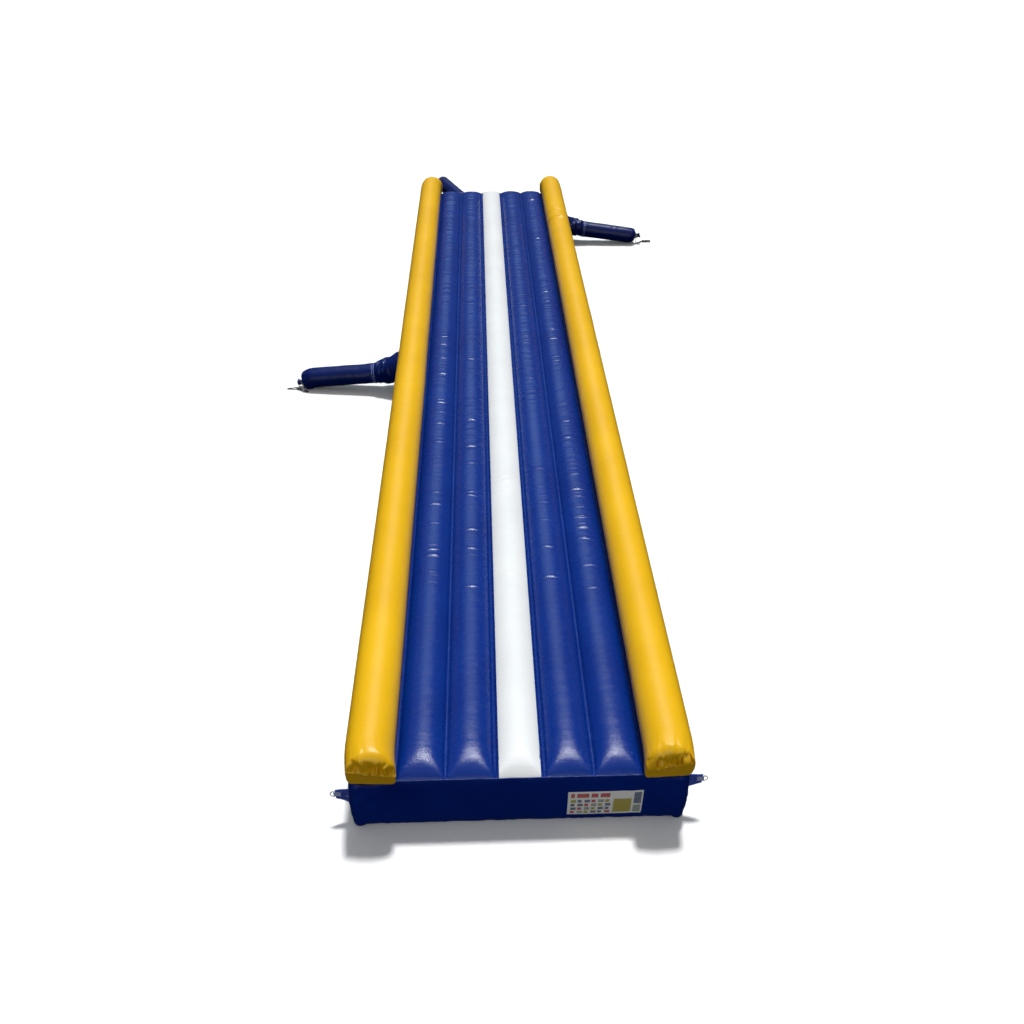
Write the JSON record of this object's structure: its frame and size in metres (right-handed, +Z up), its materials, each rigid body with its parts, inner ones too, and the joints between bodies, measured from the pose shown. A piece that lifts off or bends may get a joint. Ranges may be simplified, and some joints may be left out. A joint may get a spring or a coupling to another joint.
{
  "type": "inflatable tumble track",
  "caption": "Long inflatable tumbling mat with lengthwise air chambers, a white centre stripe, side bumper tubes, filling sleeves and corner anchor rings.",
  "frame": {"origin": "centre of the underside, on the floor, midway between the end walls and between the side walls", "axes": "+Y along the track towards the rear end with the blower sleeve, +X to the right seen from the front end, +Z up"},
  "size_m": [5.3375, 13.1408, 0.806],
  "materials": {
    "pvc_blue": "glossy coated fabric",
    "pvc_navy": "glossy coated fabric",
    "pvc_yellow": "glossy coated fabric",
    "pvc_white": "glossy coated fabric",
    "web_fabric": "matte coated fabric",
    "seam_band": "coated fabric with pale stitching",
    "webbing_black": "woven webbing",
    "buckle_grey": "moulded",
    "ring_steel": "zinc plated",
    "label_print": "printed coated fabric",
    "zip_moulded": "moulded",
    "zip_metal": "satin"
  },
  "bodies": {
    "track": {"floor_sheet": "pvc_navy", "left_wall": "pvc_navy", "right_wall": "pvc_navy", "front_wall": "pvc_navy", "rear_wall": "pvc_navy", "left_top_margin": "pvc_navy", "right_top_margin": "pvc_navy", "left_outer_chamber": "pvc_blue", "left_inner_chamber": "pvc_blue", "centre_chamber": "pvc_blue", "right_inner_chamber": "pvc_blue", "right_outer_chamber": "pvc_blue", "centre_stripe": "pvc_white", "left_edge_web": "web_fabric", "left_outer_web": "web_fabric", "left_inner_web": "web_fabric", "right_inner_web": "web_fabric", "right_outer_web": "web_fabric", "right_edge_web": "web_fabric", "left_tube": "pvc_yellow", "left_tube_front_cap": "pvc_yellow", "left_tube_rear_cap": "pvc_yellow", "right_tube": "pvc_yellow", "right_tube_front_cap": "pvc_yellow", "right_tube_rear_cap": "pvc_yellow", "left_collar": "pvc_blue", "right_collar": "pvc_blue", "blower_collar": "pvc_blue", "left_anchor_patch": "pvc_navy", "left_anchor_tab": "pvc_blue", "left_anchor_loop": "webbing_black", "right_anchor_patch": "pvc_navy", "right_anchor_tab": "pvc_blue", "right_anchor_loop": "webbing_black", "label_patch": "label_print", "zip_tapes": "webbing_black", "zip_teeth": "zip_moulded", "zip_stops": "zip_moulded"},
    "left_sleeve_body": {"left_sleeve": "pvc_blue", "left_sleeve_band": "seam_band", "left_sleeve_tuft": "pvc_navy", "left_cinch_strap": "webbing_black", "left_buckle": "buckle_grey"},
    "right_sleeve_body": {"right_sleeve": "pvc_blue", "right_sleeve_band": "seam_band", "right_sleeve_tuft": "pvc_navy", "right_cinch_strap": "webbing_black", "right_buckle": "buckle_grey"},
    "blower_sleeve_body": {"blower_sleeve": "pvc_blue", "blower_sleeve_band": "seam_band", "blower_cinch_strap": "webbing_black", "blower_buckle": "buckle_grey"},
    "left_ring_body": {"left_ring": "ring_steel"},
    "right_ring_body": {"right_ring": "ring_steel"},
    "slider_body": {"zip_slider": "zip_metal", "zip_pin": "zip_metal"},
    "pull_body": {"zip_pull": "zip_metal"}
  },
  "joints": [
    {"name": "left_sleeve_swing", "type": "hinge", "parent": "track", "child": "left_sleeve_body", "pos_m": [-1.51, 0.19, 0.218], "axis": [0, 0, 1], "range_deg": [-20, 20]},
    {"name": "right_sleeve_swing", "type": "hinge", "parent": "track", "child": "right_sleeve_body", "pos_m": [1.51, 5.062, 0.218], "axis": [0, 0, 1], "range_deg": [-20, 20]},
    {"name": "blower_sleeve_swing", "type": "hinge", "parent": "track", "child": "blower_sleeve_body", "pos_m": [-0.49368, 6.15762, 0.33], "axis": [0, 0, 1], "range_deg": [-20, 20]},
    {"name": "left_ring_swing", "type": "hinge", "parent": "track", "child": "left_ring_body", "pos_m": [-1.3, -5.925, 0.265], "axis": [0, 0, 1], "range_deg": [-75, 75]},
    {"name": "right_ring_swing", "type": "hinge", "parent": "track", "child": "right_ring_body", "pos_m": [1.3, -5.925, 0.337], "axis": [0, 0, 1], "range_deg": [-75, 75]},
    {"name": "zip_slide", "type": "slide", "parent": "track", "child": "slider_body", "axis": [1, 0, 0], "range_m": [0, 0.52]},
    {"name": "pull_turn", "type": "hinge", "parent": "slider_body", "child": "pull_body", "pos_m": [0.19, 6.0125, 0.17], "axis": [0, 0, 1], "range_deg": [0, 170]}
  ]
}
